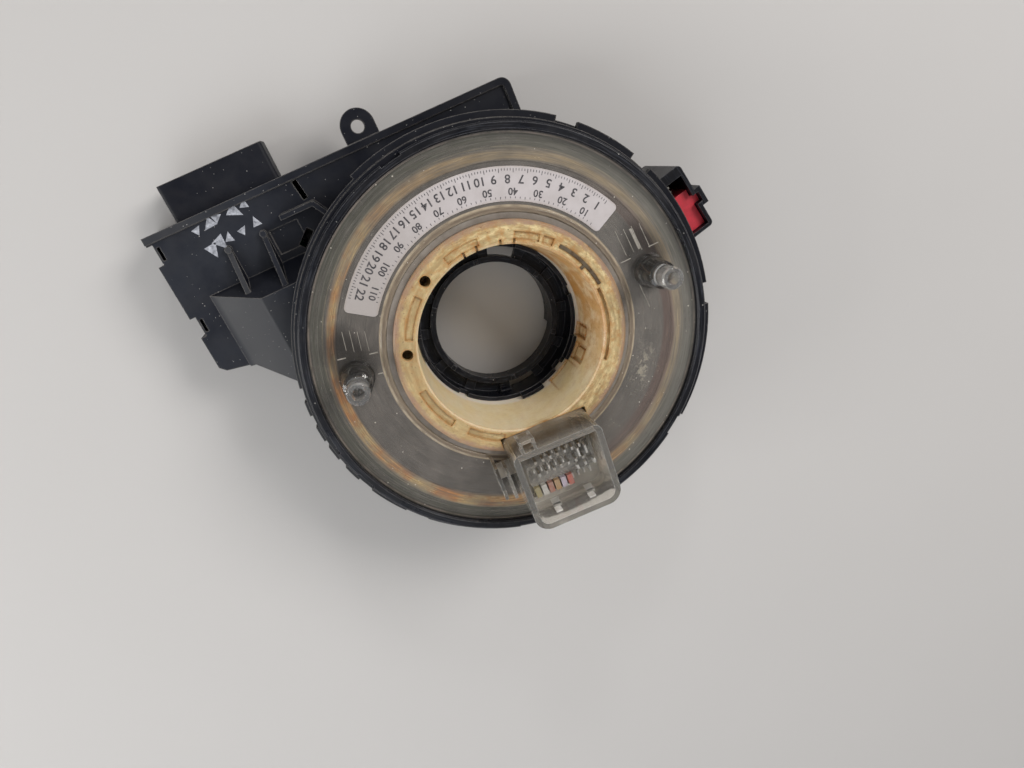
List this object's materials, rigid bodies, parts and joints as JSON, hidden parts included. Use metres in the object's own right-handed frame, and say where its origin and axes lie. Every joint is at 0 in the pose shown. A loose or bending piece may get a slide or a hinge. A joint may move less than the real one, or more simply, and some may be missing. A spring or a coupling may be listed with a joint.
{
  "type": "steering clock spring",
  "caption": "Steering clock spring: clear rotor with two driver pins and a connector, ivory hub, dark housing with a side arm and sockets.",
  "frame": {"origin": "centre of the shaft bore at its rear edge, on the turning axis", "axes": "+Z along the turning axis towards the steering wheel, +X along the side arm's straight edge away from its harness socket, +Y across that edge, the way the harness socket faces"},
  "size_m": [0.1397, 0.1258, 0.05],
  "materials": {
    "housing_plastic": "near-black moulded plastic with a fine grain and light dust",
    "ring_plastic": "black moulded plastic, slightly shiny",
    "clear_plastic": "clear plastic gone grey-brown, with grease seen through it",
    "ivory_plastic": "ivory plastic with orange-brown grease stains",
    "red_plastic": "coral red plastic",
    "coded_plastic": "small coded sleeves in several colours",
    "label_paper": null,
    "contact_metal": "tin-plated contacts",
    "spring_metal": "spring strip with a brown film",
    "screw_steel": "zinc-plated steel",
    "board_green": "green circuit board",
    "ribbon_film": "polyester film with flat copper tracks"
  },
  "bodies": {
    "housing": {"stator_housing": "housing_plastic", "retainer_ring": "ring_plastic", "rear_cover": "housing_plastic", "cover_screws": "screw_steel", "harness_socket": "housing_plastic", "harness_pins": "contact_metal", "side_socket": "ring_plastic", "red_insert": "red_plastic", "side_pins": "contact_metal", "circuit_board": "board_green", "board_chips": "ring_plastic", "light_barrier": "ring_plastic", "ribbon_outer_end": "ring_plastic", "ribbon_cable": "ribbon_film"},
    "rotor": {"hub_sleeve": "ivory_plastic", "drive_ring": "ring_plastic", "detent_spring": "spring_metal", "code_disc": "contact_metal", "rotor_disc": "clear_plastic", "connector_block": "clear_plastic", "connector_blades": "contact_metal", "colour_sleeves": "coded_plastic", "ribbon_inner_end": "ring_plastic", "scale_sticker": "label_paper"}
  },
  "joints": [
    {"name": "rotor_turn", "type": "hinge", "parent": "housing", "child": "rotor", "pos_m": [0, 0, 0], "axis": [0, 0, 1], "range_deg": [-900, 900]}
  ]
}
